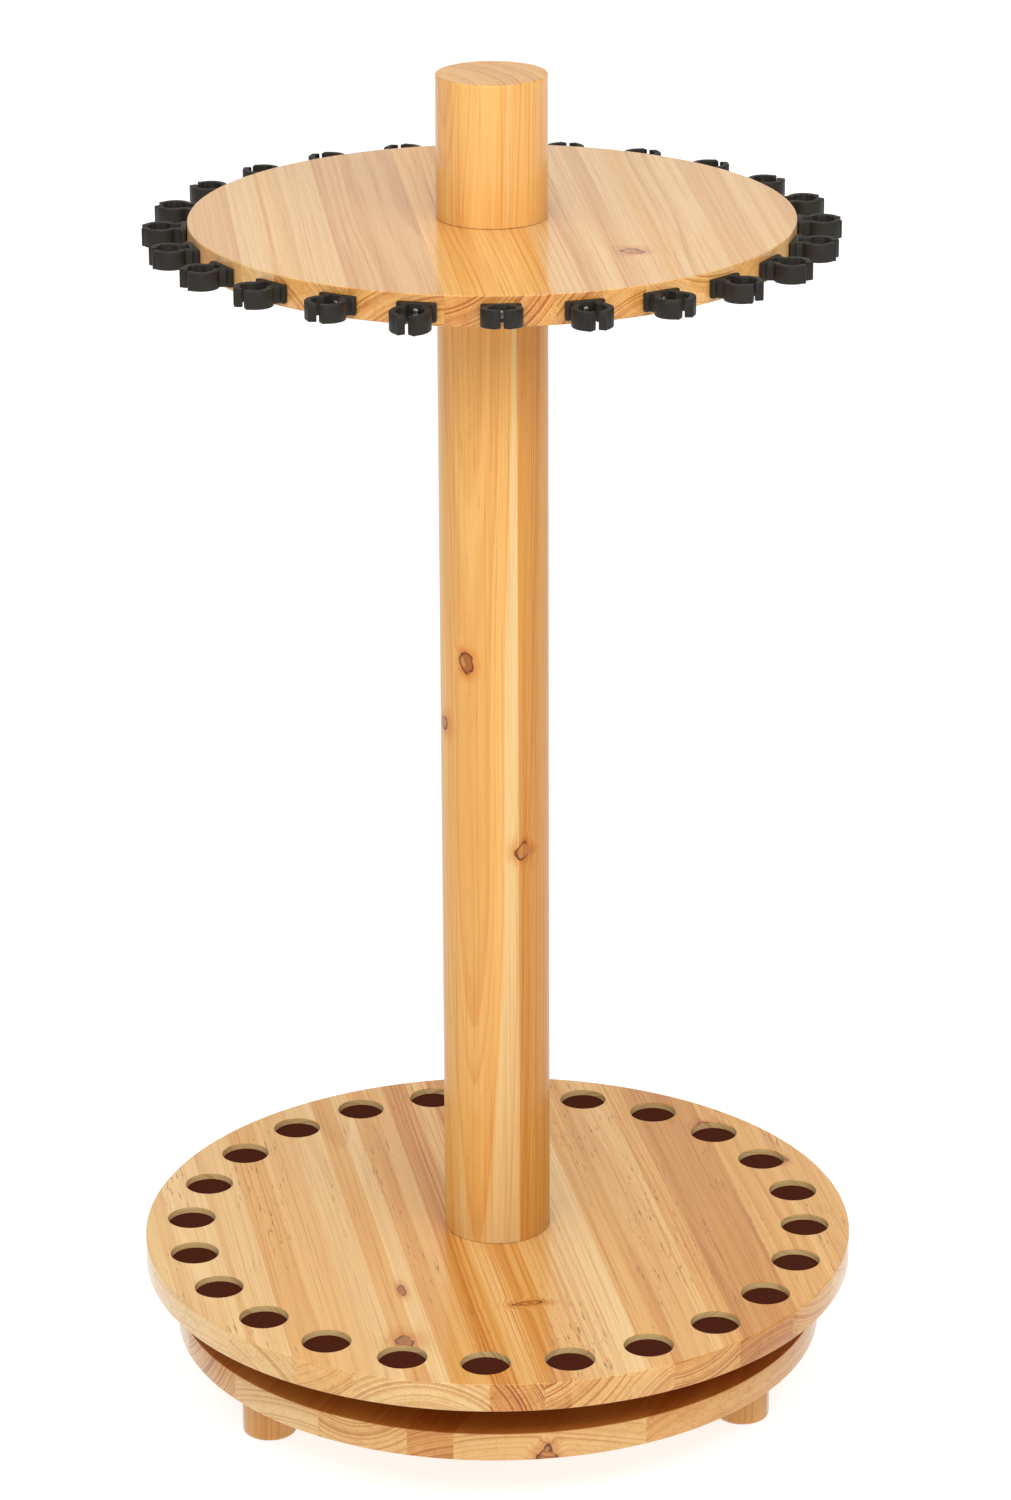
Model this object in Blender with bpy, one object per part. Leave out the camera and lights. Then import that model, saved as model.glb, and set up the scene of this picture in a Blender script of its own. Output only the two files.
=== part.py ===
"""Revolving floor rack for fishing rods, in solid softwood.

A round base on three turned feet carries a thin ball bearing. On the bearing turn a spacer and the large
lower disc, whose ring of blind sockets takes the rod butts on soft pads. A post stands on that disc and
holds the smaller upper disc, whose rim carries one plastic spring clip for each rod. A short upper post
on top is the hand hold. The floor is z = 0, the bearing's axis is the Z axis, and -Y is the front.
"""

import math

import bmesh
import bpy
from mathutils import Matrix

# Driving dimensions, in metres. Touching pieces are kept GAP apart.
GAP = 0.0003
STATIONS = 24

BOARD = 0.018
EDGE_ROUND = 0.0012
DISC_SEGMENTS = 72
CUT_OVERSHOOT = 0.005

FOOT_COUNT = 3
FOOT_RADIUS = 0.017
FOOT_HEIGHT = 0.036
FOOT_EDGE = 0.002
FOOT_CIRCLE = 0.170
FOOT_FIRST_ANGLE = 93.5
FOOT_TENON_RADIUS = 0.009
FOOT_TENON_DEPTH = 0.010
FOOT_NAMES = ("foot_back", "foot_front_left", "foot_front_right")

BASE_RADIUS = 0.203

BEARING_OUTER = 0.110
BEARING_INNER = 0.070
BEARING_PLATE = 0.0015
BEARING_HEIGHT = 0.0061
RACE_RADIUS = 0.090
RACE_HALF_WIDTH = 0.0022
RACE_DEPTH = 0.0007
BEARING_SEGMENTS = 36
BALL_COUNT = 12
CAGE_HALF_WIDTH = 0.005
CAGE_THICKNESS = 0.0012

SPACER_RADIUS = 0.125
SPACER_SEGMENTS = 48

TURNTABLE_RADIUS = 0.222
SOCKET_CIRCLE = 0.194
SOCKET_RADIUS = 0.015
SOCKET_DEPTH = 0.010
SOCKET_FIRST_ANGLE = 267.9
SOCKET_SEGMENTS = 16
PAD_THICKNESS = 0.0065
PAD_SIDE_GAP = 0.0005

POST_RADIUS = 0.033
POST_LENGTH = 0.635
POST_SEGMENTS = 40
TENON_RADIUS = 0.016
BORE_RADIUS = TENON_RADIUS + 2 * GAP
BORE_SEGMENTS = 24
TENON_INTO_SPACER = 0.012
TENON_INTO_UPPER_POST = 0.034
UPPER_POST_LENGTH = 0.085

TOP_RADIUS = 0.179

CLIP_FIRST_ANGLE = 271.6
CLIP_HEIGHT = 0.0107
CLIP_DROP = 0.0004
CLIP_FLANGE_HALF_WIDTH = 0.0114
CLIP_FLANGE_THICKNESS = 0.0034
CLIP_NECK_HALF_WIDTH = 0.0088
CLIP_NECK_RUN = 0.0009
CLIP_JAW_HALF_WIDTH = 0.0120
CLIP_JAW_HALF_LENGTH = 0.0108
CLIP_JAW_THICKNESS = 0.0038
CLIP_DEPTH = 0.0265
CLIP_LOBE_HALF_WIDTH = 0.0046
CLIP_MOUTH_DEPTH = 0.0024
CLIP_TIP_LENGTH = 0.0012
CLIP_TIP_GAP = 0.0016
# Clips whose jaws don't stand out level from the rim: station number, and degrees up.
CLIP_TILTS = {1: 6.0, 2: -2.0, 24: -5.0}

# Heights that follow from the stack of pieces, bottom to top.
BASE_BOTTOM = FOOT_HEIGHT
BASE_TOP = BASE_BOTTOM + BOARD
BEARING_BOTTOM = BASE_TOP + GAP
BEARING_TOP = BEARING_BOTTOM + BEARING_HEIGHT
SPACER_BOTTOM = BEARING_TOP + GAP
SPACER_TOP = SPACER_BOTTOM + BOARD
TURNTABLE_BOTTOM = SPACER_TOP + GAP
TURNTABLE_TOP = TURNTABLE_BOTTOM + BOARD
TOP_DISC_BOTTOM = TURNTABLE_TOP + POST_LENGTH
TOP_DISC_TOP = TOP_DISC_BOTTOM + BOARD
RACK_TOP = TOP_DISC_TOP + UPPER_POST_LENGTH


def clear_scene():
    for obj in list(bpy.data.objects):
        bpy.data.objects.remove(obj, do_unlink=True)


def finish_material(name, colour, roughness, metallic=0.0):
    material = bpy.data.materials.new(name)
    material.use_nodes = True
    shader = material.node_tree.nodes["Principled BSDF"]
    shader.inputs["Base Color"].default_value = (*colour, 1.0)
    shader.inputs["Roughness"].default_value = roughness
    shader.inputs["Metallic"].default_value = metallic
    return material


def pine(name, colour):
    """Clear-varnished softwood, each piece with its own tone."""
    return finish_material(name, colour, roughness=0.35)


def add_object(name, mesh, material, parent=None):
    obj = bpy.data.objects.new(name, mesh)
    bpy.context.scene.collection.objects.link(obj)
    if material and not mesh.materials:
        mesh.materials.append(material)
    obj.parent = parent
    return obj


def add_axis(name, height):
    """An empty on the turning axis, which carries the pieces that turn together."""
    axis = bpy.data.objects.new(name, None)
    axis.location = (0, 0, height)
    bpy.context.scene.collection.objects.link(axis)
    return axis


def mesh_from(name, build, smooth_angle=30):
    """A mesh made by build(bm), facing out and shaded smooth except over sharp edges."""
    bm = bmesh.new()
    build(bm)
    bmesh.ops.recalc_face_normals(bm, faces=bm.faces)
    mesh = bpy.data.meshes.new(name)
    bm.to_mesh(mesh)
    bm.free()
    mesh.shade_smooth()
    mesh.set_sharp_from_angle(angle=math.radians(smooth_angle))
    return mesh


def add_turning(bm, profile, segments, hollow=False):
    """Turns (radius, height) points about Z. A hollow profile is a closed loop, and any other is capped."""
    rings = []
    for radius, height in profile:
        turns = (2 * math.pi * i / segments for i in range(segments))
        ring = [bm.verts.new((radius * math.cos(a), radius * math.sin(a), height)) for a in turns]
        rings.append(ring)
    pairs = list(zip(rings, rings[1:]))
    if hollow:
        pairs.append((rings[-1], rings[0]))
    else:
        bm.faces.new(list(reversed(rings[0])))
        bm.faces.new(rings[-1])
    for lower, upper in pairs:
        for i in range(segments):
            j = (i + 1) % segments
            bm.faces.new((lower[i], lower[j], upper[j], upper[i]))


def turned_mesh(name, profile, segments, hollow=False):
    return mesh_from(name, lambda bm: add_turning(bm, profile, segments, hollow))


def rounded_cylinder(radius, bottom, top, edge):
    """The profile of a cylinder whose two edges are eased."""
    return [
        (radius - edge, bottom),
        (radius, bottom + edge),
        (radius, top - edge),
        (radius - edge, top),
    ]


def bore_cutter(name, radius, bottom, top, places, segments):
    """Upright cylinders at the given (x, y) places, to cut bores with."""

    def build(bm):
        for x, y in places:
            bmesh.ops.create_cone(
                bm,
                cap_ends=True,
                segments=segments,
                radius1=radius,
                radius2=radius,
                depth=top - bottom,
                matrix=Matrix.Translation((x, y, (bottom + top) / 2)),
            )

    cutter = add_object(name, mesh_from(name, build), None)
    cutter.hide_render = True
    cutter.display_type = "WIRE"
    return cutter


def cut(obj, cutter):
    boolean = obj.modifiers.new(cutter.name, "BOOLEAN")
    boolean.operation = "DIFFERENCE"
    boolean.solver = "EXACT"
    boolean.object = cutter


def around(radius, first_angle, count):
    """(x, y, angle) of count places evenly round a circle."""
    for i in range(count):
        angle = math.radians(first_angle + 360 * i / count)
        yield radius * math.cos(angle), radius * math.sin(angle), angle


def add_base():
    """The lower disc, which doesn't turn, with a blind bore under it for each foot's tenon."""
    profile = rounded_cylinder(BASE_RADIUS, BASE_BOTTOM, BASE_TOP, EDGE_ROUND)
    mesh = turned_mesh("base_disc", profile, DISC_SEGMENTS)
    base = add_object("base_disc", mesh, pine("base_pine", (0.66, 0.42, 0.20)))
    places = [(x, y) for x, y, _ in around(FOOT_CIRCLE, FOOT_FIRST_ANGLE, FOOT_COUNT)]
    bore_top = BASE_BOTTOM + FOOT_TENON_DEPTH + GAP
    radius = FOOT_TENON_RADIUS + 2 * GAP
    bore_bottom = BASE_BOTTOM - CUT_OVERSHOOT
    cut(base, bore_cutter("foot_bore", radius, bore_bottom, bore_top, places, segments=16))


def add_feet():
    """Turned feet, each with a tenon glued up into the base."""
    shoulder = BASE_BOTTOM - GAP
    tenon_top = BASE_BOTTOM + FOOT_TENON_DEPTH
    profile = [
        (FOOT_RADIUS - FOOT_EDGE, 0),
        (FOOT_RADIUS, FOOT_EDGE),
        (FOOT_RADIUS, shoulder),
        (FOOT_TENON_RADIUS, shoulder),
        (FOOT_TENON_RADIUS, tenon_top),
    ]
    mesh = turned_mesh("foot", profile, segments=24)
    material = pine("foot_pine", (0.62, 0.37, 0.16))
    for name, (x, y, angle) in zip(FOOT_NAMES, around(FOOT_CIRCLE, FOOT_FIRST_ANGLE, FOOT_COUNT)):
        foot = add_object(name, mesh, material)
        foot.location = (x, y, 0)
        foot.rotation_euler.z = angle


def race_profile(face, back):
    """A flat steel ring with a ball groove in its face. face and back are its two heights."""
    into = RACE_DEPTH if back > face else -RACE_DEPTH
    return [
        (BEARING_INNER, back),
        (BEARING_OUTER, back),
        (BEARING_OUTER, face),
        (RACE_RADIUS + RACE_HALF_WIDTH, face),
        (RACE_RADIUS + RACE_HALF_WIDTH / 2, face + into),
        (RACE_RADIUS - RACE_HALF_WIDTH / 2, face + into),
        (RACE_RADIUS - RACE_HALF_WIDTH, face),
        (BEARING_INNER, face),
    ]


def add_bearing(ball_axis, turning_axis):
    """Two grooved steel rings with a caged ring of balls between them, which rolls at half speed."""
    steel = finish_material("zinc_steel", (0.62, 0.63, 0.65), roughness=0.32, metallic=1.0)
    lower_face = BEARING_BOTTOM + BEARING_PLATE
    upper_face = BEARING_TOP - BEARING_PLATE
    lower_profile = race_profile(lower_face, BEARING_BOTTOM)
    lower = turned_mesh("bearing_lower_plate", lower_profile, BEARING_SEGMENTS, hollow=True)
    add_object("bearing_lower_plate", lower, steel)

    middle = (BEARING_BOTTOM + BEARING_TOP) / 2
    upper_profile = [(radius, z - middle) for radius, z in race_profile(upper_face, BEARING_TOP)]
    upper = turned_mesh("bearing_upper_plate", upper_profile, BEARING_SEGMENTS, hollow=True)
    add_object("bearing_upper_plate", upper, steel, turning_axis)

    ball_radius = middle - lower_face + RACE_DEPTH - GAP
    cage_profile = [
        (RACE_RADIUS - CAGE_HALF_WIDTH, -CAGE_THICKNESS / 2),
        (RACE_RADIUS + CAGE_HALF_WIDTH, -CAGE_THICKNESS / 2),
        (RACE_RADIUS + CAGE_HALF_WIDTH, CAGE_THICKNESS / 2),
        (RACE_RADIUS - CAGE_HALF_WIDTH, CAGE_THICKNESS / 2),
    ]

    def build_balls(bm):
        for x, y, _ in around(RACE_RADIUS, 0, BALL_COUNT):
            place = Matrix.Translation((x, y, 0))
            bmesh.ops.create_uvsphere(bm, u_segments=6, v_segments=4, radius=ball_radius, matrix=place)

    balls = add_object("bearing_balls", mesh_from("bearing_balls", build_balls), None, ball_axis)
    balls.hide_render = True
    balls.display_type = "WIRE"
    cage_mesh = turned_mesh("bearing_ball_ring", cage_profile, BEARING_SEGMENTS, hollow=True)
    cage = add_object("bearing_ball_ring", cage_mesh, steel, ball_axis)
    joined = cage.modifiers.new("balls", "BOOLEAN")
    joined.operation = "UNION"
    joined.solver = "EXACT"
    joined.object = balls


def add_turntable(turning_axis):
    """The spacer and the large disc over it, both bored for the tenon under the post."""
    origin = turning_axis.location.z
    profile = rounded_cylinder(SPACER_RADIUS, SPACER_BOTTOM - origin, SPACER_TOP - origin, EDGE_ROUND)
    spacer_mesh = turned_mesh("bearing_spacer", profile, SPACER_SEGMENTS)
    spacer_wood = pine("spacer_pine", (0.55, 0.33, 0.15))
    spacer = add_object("bearing_spacer", spacer_mesh, spacer_wood, turning_axis)
    bottom = TURNTABLE_BOTTOM - origin
    top = TURNTABLE_TOP - origin
    profile = rounded_cylinder(TURNTABLE_RADIUS, bottom, top, EDGE_ROUND)
    disc_mesh = turned_mesh("rotating_disc", profile, DISC_SEGMENTS)
    disc_wood = pine("turntable_pine", (0.78, 0.52, 0.28))
    disc = add_object("rotating_disc", disc_mesh, disc_wood, turning_axis)

    bore_bottom = SPACER_TOP - TENON_INTO_SPACER - GAP
    cut_top = TURNTABLE_TOP + CUT_OVERSHOOT
    post_bore = bore_cutter("post_bore", BORE_RADIUS, bore_bottom, cut_top, [(0, 0)], BORE_SEGMENTS)
    cut(spacer, post_bore)
    cut(disc, post_bore)

    places = [(x, y) for x, y, _ in around(SOCKET_CIRCLE, SOCKET_FIRST_ANGLE, STATIONS)]
    floor = TURNTABLE_TOP - SOCKET_DEPTH
    cut(disc, bore_cutter("rod_sockets", SOCKET_RADIUS, floor, cut_top, places, SOCKET_SEGMENTS))


def add_pads(turning_axis):
    """A soft pad in the bottom of every socket, for the rod's butt to stand on."""
    floor = TURNTABLE_TOP - SOCKET_DEPTH + GAP
    radius = SOCKET_RADIUS - PAD_SIDE_GAP
    profile = [(radius, 0), (radius, PAD_THICKNESS)]
    mesh = turned_mesh("socket_pad", profile, SOCKET_SEGMENTS)
    brown = finish_material("brown_felt", (0.075, 0.014, 0.006), roughness=0.95)
    for i, (x, y, _) in enumerate(around(SOCKET_CIRCLE, SOCKET_FIRST_ANGLE, STATIONS), start=1):
        pad = add_object(f"socket_pad_{i:02d}", mesh, brown, turning_axis)
        pad.location = (x, y, floor - turning_axis.location.z)


def add_posts(turning_axis):
    """The long lower post with a tenon at each end, and the short upper post glued over its upper tenon."""
    origin = turning_axis.location.z
    foot = TURNTABLE_TOP + GAP
    head = TOP_DISC_BOTTOM - GAP
    profile = [
        (TENON_RADIUS, SPACER_TOP - TENON_INTO_SPACER),
        (TENON_RADIUS, foot),
        (POST_RADIUS, foot),
        (POST_RADIUS, head),
        (TENON_RADIUS, head),
        (TENON_RADIUS, TOP_DISC_TOP + TENON_INTO_UPPER_POST),
    ]
    profile = [(radius, z - origin) for radius, z in profile]
    mesh = turned_mesh("lower_post", profile, POST_SEGMENTS)
    add_object("lower_post", mesh, pine("post_pine", (0.74, 0.42, 0.17)), turning_axis)

    bottom = TOP_DISC_TOP + GAP - origin
    profile = [
        (POST_RADIUS, bottom),
        (POST_RADIUS, RACK_TOP - EDGE_ROUND - origin),
        (POST_RADIUS - EDGE_ROUND, RACK_TOP - origin),
    ]
    mesh = turned_mesh("upper_post", profile, POST_SEGMENTS)
    upper = add_object("upper_post", mesh, pine("upper_post_pine", (0.76, 0.45, 0.19)), turning_axis)
    bore_bottom = TOP_DISC_BOTTOM - CUT_OVERSHOOT
    bore_top = TOP_DISC_TOP + TENON_INTO_UPPER_POST + GAP
    bore = bore_cutter("upper_bore", BORE_RADIUS, bore_bottom, bore_top, [(0, 0)], BORE_SEGMENTS)
    cut(upper, bore)
    return bore


def add_top_disc(turning_axis, bore):
    """The smaller disc that holds the rods upright, with a through bore for the post's tenon."""
    origin = turning_axis.location.z
    profile = rounded_cylinder(TOP_RADIUS, TOP_DISC_BOTTOM - origin, TOP_DISC_TOP - origin, EDGE_ROUND)
    mesh = turned_mesh("top_disc", profile, DISC_SEGMENTS)
    disc = add_object("top_disc", mesh, pine("top_pine", (0.80, 0.55, 0.32)), turning_axis)
    cut(disc, bore)


def clip_outline():
    """The clip seen from above: x outwards from the disc's rim, y along it.

    A flat flange lies on the rim. From a narrower neck two jaws run out and close to a ring. Their ends
    are two lobes with a notch between them, where the rod is pushed in.
    """
    outer_x, outer_y = CLIP_JAW_HALF_LENGTH, CLIP_JAW_HALF_WIDTH
    inner_x, inner_y = outer_x - CLIP_JAW_THICKNESS, outer_y - CLIP_JAW_THICKNESS
    centre = CLIP_DEPTH - outer_x

    def on_jaw(half_x, half_y, degrees):
        """A point on an ellipse about the jaws' centre, from 0 at the tips to 180 at the neck."""
        angle = math.radians(degrees)
        return (centre + half_x * math.cos(angle), half_y * math.sin(angle))

    neck = CLIP_FLANGE_THICKNESS + GAP
    half = [
        (GAP, CLIP_FLANGE_HALF_WIDTH),
        (neck, CLIP_FLANGE_HALF_WIDTH),
        (neck + CLIP_NECK_RUN, CLIP_NECK_HALF_WIDTH),
    ]
    half += [on_jaw(outer_x, outer_y, a) for a in (128, 107, 86, 65, 44)]
    tip = CLIP_DEPTH - CLIP_MOUTH_DEPTH
    half.append((CLIP_DEPTH, CLIP_LOBE_HALF_WIDTH))
    half.append((tip, CLIP_TIP_GAP / 2))
    half.append((tip - CLIP_TIP_LENGTH, CLIP_TIP_GAP / 2))
    half += [on_jaw(inner_x, inner_y, a) for a in (22, 46, 70, 94, 118, 142, 166)]
    return half + [(x, -y) for x, y in reversed(half)]


def clip_mesh(tilt):
    """The clip in solid plastic. Its jaws slope up by tilt, and its flange stays flat on the rim."""

    def build(bm):
        slope = math.tan(math.radians(tilt))
        corners = [bm.verts.new((x, y, x * slope - CLIP_HEIGHT / 2)) for x, y in clip_outline()]
        face = bm.faces.new(corners)
        raised = bmesh.ops.extrude_face_region(bm, geom=[face])
        tops = [item for item in raised["geom"] if isinstance(item, bmesh.types.BMVert)]
        bmesh.ops.translate(bm, verts=tops, vec=(0, 0, CLIP_HEIGHT))

    return mesh_from("rod_clip", build, smooth_angle=35)


def add_clips(turning_axis):
    """Spring clips round the upper disc, one for each rod, each fixed by a screw through its flange."""
    level = clip_mesh(0)
    black = finish_material("black_plastic", (0.022, 0.020, 0.018), roughness=0.45)
    height = (TOP_DISC_BOTTOM + TOP_DISC_TOP) / 2 - CLIP_DROP - turning_axis.location.z
    for i, (x, y, angle) in enumerate(around(TOP_RADIUS, CLIP_FIRST_ANGLE, STATIONS), start=1):
        mesh = clip_mesh(CLIP_TILTS[i]) if i in CLIP_TILTS else level
        clip = add_object(f"rod_clip_{i:02d}", mesh, black, turning_axis)
        clip.location = (x, y, height)
        clip.rotation_euler.z = angle


clear_scene()
bearing_middle = (BEARING_BOTTOM + BEARING_TOP) / 2
ball_axis = add_axis("ball_ring_axis", bearing_middle)
turning_axis = add_axis("turntable_axis", bearing_middle)
add_base()
add_feet()
add_bearing(ball_axis, turning_axis)
add_turntable(turning_axis)
add_pads(turning_axis)
add_top_disc(turning_axis, add_posts(turning_axis))
add_clips(turning_axis)
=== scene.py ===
import math

import bmesh
import bpy
from mathutils import Matrix, Vector


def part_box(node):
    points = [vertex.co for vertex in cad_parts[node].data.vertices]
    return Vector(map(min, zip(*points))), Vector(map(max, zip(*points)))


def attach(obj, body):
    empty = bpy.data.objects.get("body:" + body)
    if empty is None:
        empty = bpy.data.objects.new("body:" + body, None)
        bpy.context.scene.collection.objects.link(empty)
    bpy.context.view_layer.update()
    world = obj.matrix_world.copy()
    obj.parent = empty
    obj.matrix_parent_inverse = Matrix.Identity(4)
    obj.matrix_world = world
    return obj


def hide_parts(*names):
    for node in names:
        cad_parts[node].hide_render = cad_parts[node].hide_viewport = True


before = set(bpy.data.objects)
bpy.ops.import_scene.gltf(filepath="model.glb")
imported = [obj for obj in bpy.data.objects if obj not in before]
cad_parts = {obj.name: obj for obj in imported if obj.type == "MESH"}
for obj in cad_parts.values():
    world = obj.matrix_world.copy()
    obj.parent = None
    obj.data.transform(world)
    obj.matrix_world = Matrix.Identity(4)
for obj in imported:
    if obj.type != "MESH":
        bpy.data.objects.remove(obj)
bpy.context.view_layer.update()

# ---- The room ---------------------------------------------------------------------------------
# The rack stands alone on a white light table. A broad cloth overhead, a soft box above the camera and a
# pale wall behind light it, and the camera looks down on it from the front through a long lens.

scene = bpy.context.scene
scene.view_settings.view_transform = "Standard"
world = bpy.data.worlds.new("studio_air")
world.use_nodes = True
world.node_tree.nodes["Background"].inputs["Color"].default_value = (1.0, 1.0, 1.0, 1.0)
world.node_tree.nodes["Background"].inputs["Strength"].default_value = 0.13
scene.world = world


def soft_box(name, size, power, place, aim, tint=(1.0, 1.0, 1.0)):
    """A rectangular studio light at a place, turned to face the point that it is aimed at."""
    lamp = bpy.data.lights.new(name, "AREA")
    lamp.shape = "RECTANGLE"
    lamp.size, lamp.size_y = size
    lamp.energy = power
    lamp.color = tint
    stand = bpy.data.objects.new(name, lamp)
    scene.collection.objects.link(stand)
    stand.location = place
    stand.rotation_euler = (Vector(aim) - Vector(place)).to_track_quat("-Z", "Y").to_euler()


soft_box("front_box", (2.6, 0.5), 21.5, (0.30, -1.35, 1.45), (0, 0, 0.60))
soft_box("back_wall_box", (7.0, 2.2), 38, (0.0, 4.6, 2.0), (0, 0, 0.5), tint=(1.0, 0.93, 0.82))
overhead = bpy.data.lights.new("overhead_cloth", "SUN")
overhead.energy = 2.35
overhead.angle = math.radians(95)
ceiling = bpy.data.objects.new("overhead_cloth", overhead)
ceiling.rotation_euler = (math.radians(14), math.radians(-6), 0)
scene.collection.objects.link(ceiling)

table_half = 60.0
table_corners = [(x * table_half, y * table_half, 0) for x, y in ((-1, -1), (1, -1), (1, 1), (-1, 1))]
sweep = bpy.data.meshes.new("light_table")
sweep.from_pydata(table_corners, [], [(0, 1, 2, 3)])
floor = bpy.data.objects.new("light_table", sweep)
scene.collection.objects.link(floor)
opal = bpy.data.materials.new("opal_sheet")
opal.use_nodes = True
opal_shader = opal.node_tree.nodes["Principled BSDF"]
opal_shader.inputs["Base Color"].default_value = (0.35, 0.35, 0.35, 1)
opal_shader.inputs["Roughness"].default_value = 0.95
opal_shader.inputs["Emission Color"].default_value = (1, 1, 1, 1)
opal_shader.inputs["Emission Strength"].default_value = 0.78
sweep.materials.append(opal)

lens = bpy.data.cameras.new("studio_camera")
lens.lens = 120.4
lens.sensor_width = 36.0
camera = bpy.data.objects.new("studio_camera", lens)
camera.location = (0.0064, -2.8712, 1.4837)
tip = Matrix.Rotation(math.radians(69.583), 3, "X")
roll = Matrix.Rotation(-0.0046, 3, "Z")
camera.rotation_euler = (tip @ roll).to_euler()
scene.collection.objects.link(camera)
scene.camera = camera

# ---- Feet ------------------------------------------------------------------------------------
# Three short dowels of pine, sawn off a turned rod, with the lower edge sanded round. A thinner tenon is
# turned on each and glued up into the base. Their grain stands upright. All wood here has clear varnish.
MM = 0.001
gap = 0.3 * MM


class Wire:
    """A socket of a material's nodes, so that shader maths reads as plain sums."""

    def __init__(self, nodes, socket=None):
        self.nodes, self.socket = nodes, socket

    def node(self, kind, settings=None, inputs=None, output=0):
        """Adds a node: its type, its settings and a ramp's stops, then what its sockets hold or take."""
        made = self.nodes.new("ShaderNode" + kind)
        for name, value in (settings or {}).items():
            if name == "stops":
                self.set_stops(made.color_ramp, value)
            elif name == "interpolation":
                made.color_ramp.interpolation = value
            else:
                setattr(made, name, value)
        for name, value in (inputs or {}).items():
            if isinstance(value, Wire):
                made.id_data.links.new(value.socket, made.inputs[name])
            else:
                made.inputs[name].default_value = value
        return Wire(self.nodes, made.outputs[output] if len(made.outputs) else None)

    @staticmethod
    def set_stops(ramp, stops):
        while len(ramp.elements) < len(stops):
            ramp.elements.new(1.0)
        for element, (position, colour) in zip(ramp.elements, stops):
            element.position = position
            element.color = colour

    def other(self, index):
        """Another output of the node that this wire comes from."""
        return Wire(self.nodes, self.socket.node.outputs[index])

    def maths(self, operation, *values):
        return self.node("Math", {"operation": operation}, dict(enumerate(values)))

    def __add__(self, value):
        return self.maths("ADD", self, value)

    def __sub__(self, value):
        return self.maths("SUBTRACT", self, value)

    def __rsub__(self, value):
        return self.maths("SUBTRACT", value, self)

    def __mul__(self, value):
        return self.maths("MULTIPLY", self, value)

    def __truediv__(self, value):
        return self.maths("DIVIDE", self, value)

    def __pow__(self, value):
        return self.maths("POWER", self, value)

    def __gt__(self, value):
        return self.maths("GREATER_THAN", self, value)

    __radd__ = __add__
    __rmul__ = __mul__

    def rise(self, start, end):
        """0 up to start, 1 from end on, and a smooth step between."""
        settings = {"interpolation_type": "SMOOTHSTEP"}
        return self.node("MapRange", settings, {"Value": self, "From Min": start, "From Max": end})

    def along(self, direction):
        """How far a position lies along a direction."""
        return self.node("VectorMath", {"operation": "DOT_PRODUCT"}, {0: self, 1: direction}, output=1)

    def noise(self, scale, detail=2.0, roughness=0.5):
        """Noise over this position. Its other(1) is the noise in three channels."""
        grit = {"Vector": self, "Scale": scale, "Detail": detail, "Roughness": roughness}
        return self.node("TexNoise", {}, grit)

    def noise_line(self, scale, detail=1.0):
        """Noise along one number."""
        grit = {"W": self, "Scale": scale, "Detail": detail}
        return self.node("TexNoise", {"noise_dimensions": "1D"}, grit)

    def place(self, x, y, z):
        return self.node("CombineXYZ", {}, {"X": x, "Y": y, "Z": z})

    def mix(self, amount, below, above, blend="MIX"):
        """Colours mixed by an amount."""
        settings = {"data_type": "RGBA", "blend_type": blend, "clamp_factor": True}
        return self.node("Mix", settings, {0: amount, 6: below, 7: above}, output=2)

    def stain(self, amount, tint):
        """This colour, multiplied by a tint where the amount is 1."""
        return self.mix(amount, self, (*tint, 1.0), "MULTIPLY")


def fresh_material(name):
    """An empty material with a Principled shader, and a wire to start its maths from."""
    material = bpy.data.materials.new(name)
    material.use_nodes = True
    nodes = material.node_tree.nodes
    return material, Wire(nodes), nodes["Principled BSDF"]


def connect(shader, **wires):
    for name, wire in wires.items():
        shader.id_data.links.new(wire.socket, shader.inputs[name.replace("_", " ")])


PALE = (0.79, 0.550, 0.250)
STRAW = (0.77, 0.480, 0.185)
TAN = (0.71, 0.395, 0.120)
HONEY = (0.69, 0.365, 0.100)
ROSE = (0.61, 0.300, 0.075)
AMBER = (0.81, 0.470, 0.150)


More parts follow.
